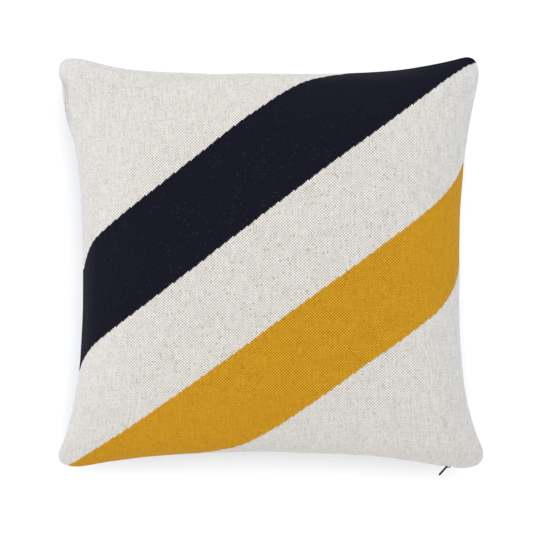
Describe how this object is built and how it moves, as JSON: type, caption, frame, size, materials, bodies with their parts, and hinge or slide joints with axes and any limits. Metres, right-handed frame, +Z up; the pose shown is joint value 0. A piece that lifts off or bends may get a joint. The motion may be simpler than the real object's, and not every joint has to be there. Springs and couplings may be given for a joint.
{
  "type": "filled knitted cushion cover",
  "caption": "Square soft cushion in a fine knitted cover with bold diagonal stripes on the face, a linked edge seam and a concealed zip with a small flat pull.",
  "frame": {"origin": "middle of the flat patch on which the cushion rests, on its back panel", "axes": "+Z up out of the patterned face, +X to the right side of the face, +Y to its top side; the zip is in the seam on the -Y side"},
  "size_m": [0.4896, 0.4809, 0.137],
  "materials": {
    "knit": "fine birdseye jacquard knit in natural marl yarn, with mustard and navy stripes on the face and a plain back",
    "zip_lacquer": "satin navy-black lacquer on die-cast metal"
  },
  "bodies": {
    "root": {"cover": "knit", "zip_slider": "zip_lacquer", "zip_pull": "zip_lacquer"}
  },
  "joints": []
}
